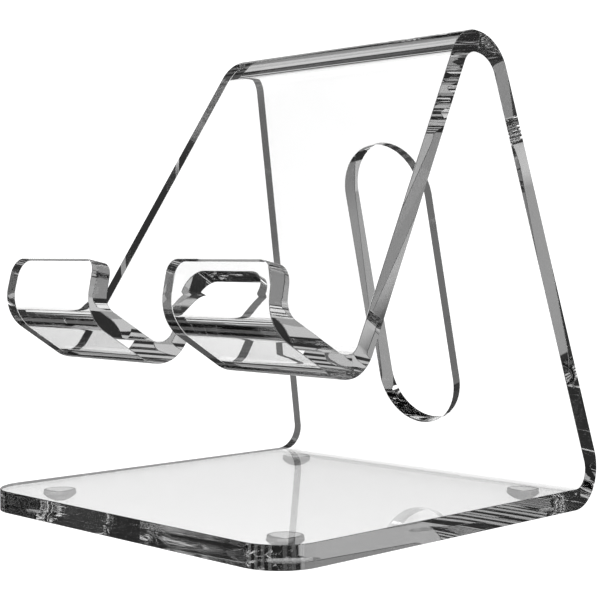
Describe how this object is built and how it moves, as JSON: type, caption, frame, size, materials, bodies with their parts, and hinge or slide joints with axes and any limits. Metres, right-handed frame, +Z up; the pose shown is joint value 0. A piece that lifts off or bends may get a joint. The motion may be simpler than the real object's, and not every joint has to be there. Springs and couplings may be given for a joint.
{
  "type": "phone stand",
  "caption": "Clear bent-sheet phone stand: tapering panels folded over a flat base, hooks split by a cable slot, a tall window in the back and soft domed feet.",
  "frame": {"origin": "middle of the footprint, on the surface that the feet stand on", "axes": "+Z up, +X to the right across the stand as the user faces it, +Y to the rear; the phone faces -Y"},
  "size_m": [0.1, 0.106, 0.1125],
  "materials": {
    "clear_acrylic": "crystal clear cast acrylic, polished faces and polished edges",
    "clear_polyurethane": "clear soft polyurethane, slightly cloudy",
    "adhesive_film": "clear acrylic adhesive film"
  },
  "bodies": {
    "root": {"stand_body": "clear_acrylic", "foot_front_left": "clear_polyurethane", "foot_front_right": "clear_polyurethane", "foot_rear_left": "clear_polyurethane", "foot_rear_right": "clear_polyurethane", "adhesive_front_left": "adhesive_film", "adhesive_front_right": "adhesive_film", "adhesive_rear_left": "adhesive_film", "adhesive_rear_right": "adhesive_film"}
  },
  "joints": []
}
